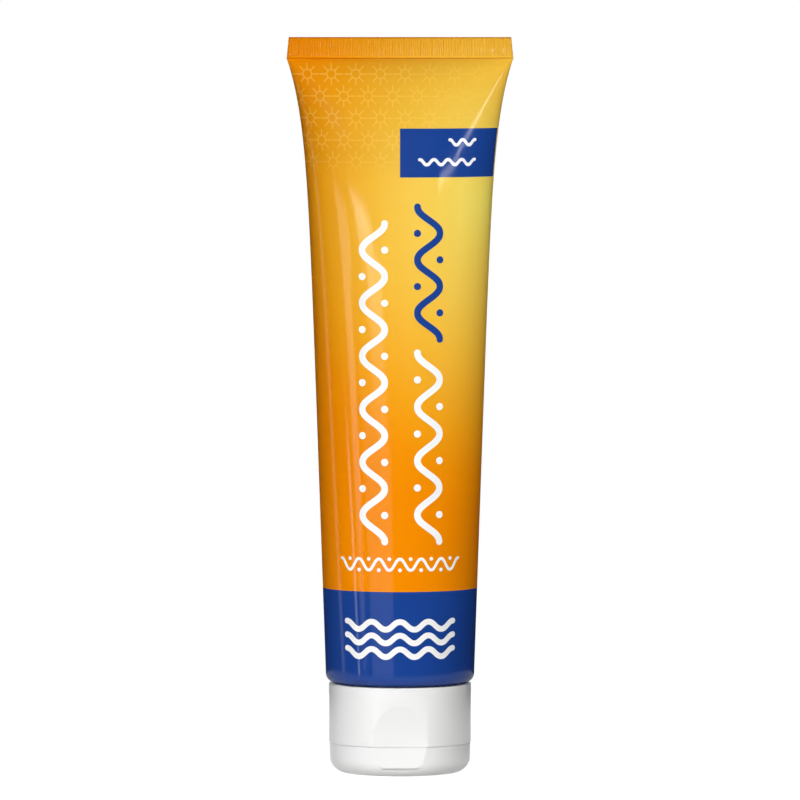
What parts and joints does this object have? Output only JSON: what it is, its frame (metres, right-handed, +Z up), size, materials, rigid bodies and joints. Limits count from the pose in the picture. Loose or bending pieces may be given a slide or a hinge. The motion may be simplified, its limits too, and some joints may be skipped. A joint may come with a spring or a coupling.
{
  "type": "squeeze tube with flip-top cap",
  "caption": "Soft squeeze tube with a crimped flat end, standing on a wide flip-top cap whose lid turns on a living hinge to open the nozzle.",
  "frame": {"origin": "on the floor under the middle of the cap", "axes": "+Z up along the tube's axis, X along the flat seal, the thumb recess faces -Y and the hinge is at +Y"},
  "size_m": [0.0532, 0.035, 0.1731],
  "materials": {
    "sleeve_print": "glossy printed polyethylene film, yellow to orange, with a blue band, a blue panel and white ornament",
    "head_plastic": "plain white moulded polyethylene",
    "lotion": "thick off-white cream",
    "cap_plastic": "white moulded polypropylene, semi-gloss",
    "lid_plastic": "white moulded polypropylene, semi-gloss",
    "hinge_plastic": "white polypropylene, whitened where it bends"
  },
  "bodies": {
    "tube": {"tube_sleeve": "sleeve_print", "tube_head": "head_plastic", "lotion_fill": "lotion", "cap_base": "cap_plastic", "hinge_film": "hinge_plastic", "hinge_strap_left": "hinge_plastic", "hinge_strap_right": "hinge_plastic"},
    "lid": {"cap_lid": "lid_plastic"}
  },
  "joints": [
    {"name": "lid_hinge", "type": "hinge", "parent": "tube", "child": "lid", "pos_m": [0, 0.01642, 0.007], "axis": [1, 0, 0], "range_deg": [0, 150], "deforming": ["hinge_film", "hinge_strap_left", "hinge_strap_right"]}
  ]
}
